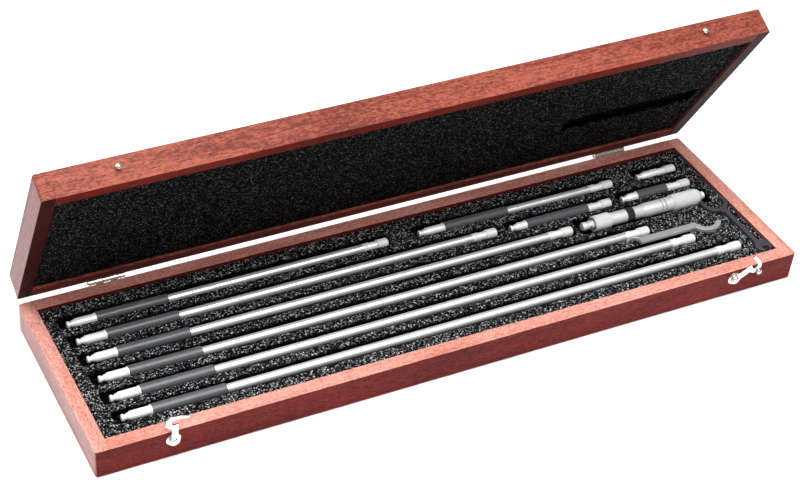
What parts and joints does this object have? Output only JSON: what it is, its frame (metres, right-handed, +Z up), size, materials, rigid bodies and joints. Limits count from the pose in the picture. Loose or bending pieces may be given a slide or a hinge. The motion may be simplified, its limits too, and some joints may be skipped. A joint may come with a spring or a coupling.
{
  "type": "cased tubular inside micrometer set",
  "caption": "Hinged wooden case with cut foam, holding a tubular inside micrometer head, gripped extension rods, two wrenches and swinging hook latches.",
  "frame": {"origin": "centre of the flat underside of the case", "axes": "+X along the case towards the wrenches, +Y towards the hinges, +Z up"},
  "size_m": [0.52, 0.1696, 0.1643],
  "materials": {
    "case_wood": "satin",
    "foam": "matte",
    "plated_fitting": "gloss",
    "rod_steel": "satin",
    "satin_chrome": "satin",
    "grip_black": "satin",
    "ring_black": "satin",
    "wrench_dark": "satin",
    "wrench_light": "satin"
  },
  "bodies": {
    "tray": {"tray_back": "case_wood", "tray_bottom": "case_wood", "tray_foam_base": "foam", "tray_foam_insert": "foam", "tray_front": "case_wood", "tray_left": "case_wood", "tray_right": "case_wood", "hinge_left_tray_leaf": "plated_fitting", "hinge_left_pin": "plated_fitting", "hinge_right_tray_leaf": "plated_fitting", "hinge_right_pin": "plated_fitting", "hinge_tray_screws": "plated_fitting", "hook_washers": "plated_fitting", "hook_pivot_screws": "plated_fitting", "hook_rest_pin": "plated_fitting"},
    "lid": {"lid_front": "case_wood", "lid_back": "case_wood", "lid_left": "case_wood", "lid_right": "case_wood", "lid_top": "case_wood", "lid_foam": "foam", "hinge_left_lid_leaf": "plated_fitting", "hinge_right_lid_leaf": "plated_fitting", "hinge_lid_screws": "plated_fitting", "lid_pegs": "plated_fitting"},
    "latch_left": {"hook_left": "plated_fitting"},
    "latch_right": {"hook_right": "plated_fitting"},
    "head": {"head_tip": "rod_steel", "head_body": "satin_chrome", "head_lock_ring": "ring_black", "head_sleeve": "satin_chrome"},
    "chuck_collar": {"head_collar": "rod_steel"},
    "spindle": {"head_end_contact": "rod_steel"},
    "thimble": {"head_thimble": "satin_chrome"},
    "open_end_wrench": {"wrench_open_end": "wrench_dark"},
    "hook_wrench": {"wrench_hook": "wrench_light"},
    "rod_01in": {"rod_01in": "rod_steel"},
    "rod_02in": {"rod_02in": "rod_steel", "rod_02in_grip": "grip_black"},
    "rod_03in": {"rod_03in": "rod_steel", "rod_03in_grip": "grip_black"},
    "rod_06in": {"rod_06in": "rod_steel", "rod_06in_grip": "grip_black"},
    "rod_09in": {"rod_09in": "rod_steel", "rod_09in_grip": "grip_black"},
    "rod_12in": {"rod_12in": "rod_steel", "rod_12in_grip": "grip_black"},
    "rod_14in": {"rod_14in": "rod_steel", "rod_14in_grip": "grip_black"},
    "rod_16in": {"rod_16in": "rod_steel", "rod_16in_grip": "grip_black"},
    "rod_17in": {"rod_17in": "rod_steel", "rod_17in_grip": "grip_black"},
    "rod_18in": {"rod_18in": "rod_steel", "rod_18in_grip": "grip_black"}
  },
  "joints": [
    {"name": "lid_hinge", "type": "hinge", "parent": "tray", "child": "lid", "pos_m": [0, 0.07675, 0.022], "axis": [-1, 0, 0], "range_deg": [-62.4, 117.6]},
    {"name": "hook_left_swing", "type": "hinge", "parent": "tray", "child": "latch_left", "pos_m": [-0.209, -0.07555, 0.0152], "axis": [0, 1, 0], "range_deg": [-100, 90]},
    {"name": "hook_right_swing", "type": "hinge", "parent": "tray", "child": "latch_right", "pos_m": [0.209, -0.07555, 0.0152], "axis": [0, 1, 0], "range_deg": [-56, 0]},
    {"name": "head_lift", "type": "slide", "parent": "tray", "child": "head", "axis": [0, 0, 1], "range_m": [0, 0.04]},
    {"name": "chuck_turn", "type": "hinge", "parent": "head", "child": "chuck_collar", "pos_m": [0.152, 0.00852, 0.0205], "axis": [1, 0, 0], "continuous": true},
    {"name": "thimble_travel", "type": "slide", "parent": "head", "child": "spindle", "axis": [1, 0, 0], "range_m": [0, 0.00254]},
    {"name": "thimble_spin", "type": "hinge", "parent": "spindle", "child": "thimble", "pos_m": [0.215, 0.00852, 0.0205], "axis": [1, 0, 0], "range_deg": [0, 1440]},
    {"name": "rod_01in_lift", "type": "slide", "parent": "tray", "child": "rod_01in", "axis": [0, 0, 1], "range_m": [0, 0.04]},
    {"name": "rod_02in_lift", "type": "slide", "parent": "tray", "child": "rod_02in", "axis": [0, 0, 1], "range_m": [0, 0.04]},
    {"name": "rod_03in_lift", "type": "slide", "parent": "tray", "child": "rod_03in", "axis": [0, 0, 1], "range_m": [0, 0.04]},
    {"name": "rod_06in_lift", "type": "slide", "parent": "tray", "child": "rod_06in", "axis": [0, 0, 1], "range_m": [0, 0.04]},
    {"name": "rod_09in_lift", "type": "slide", "parent": "tray", "child": "rod_09in", "axis": [0, 0, 1], "range_m": [0, 0.04]},
    {"name": "rod_12in_lift", "type": "slide", "parent": "tray", "child": "rod_12in", "axis": [0, 0, 1], "range_m": [0, 0.04]},
    {"name": "rod_14in_lift", "type": "slide", "parent": "tray", "child": "rod_14in", "axis": [0, 0, 1], "range_m": [0, 0.04]},
    {"name": "rod_16in_lift", "type": "slide", "parent": "tray", "child": "rod_16in", "axis": [0, 0, 1], "range_m": [0, 0.04]},
    {"name": "rod_17in_lift", "type": "slide", "parent": "tray", "child": "rod_17in", "axis": [0, 0, 1], "range_m": [0, 0.04]},
    {"name": "rod_18in_lift", "type": "slide", "parent": "tray", "child": "rod_18in", "axis": [0, 0, 1], "range_m": [0, 0.04]},
    {"name": "open_end_wrench_lift", "type": "slide", "parent": "tray", "child": "open_end_wrench", "axis": [0, 0, 1], "range_m": [0, 0.04]},
    {"name": "hook_wrench_lift", "type": "slide", "parent": "tray", "child": "hook_wrench", "axis": [0, 0, 1], "range_m": [0, 0.04]}
  ],
  "couplings": [
    {"joint": "thimble_spin", "follows": "thimble_travel", "rad_per_m": 9894.8}
  ]
}
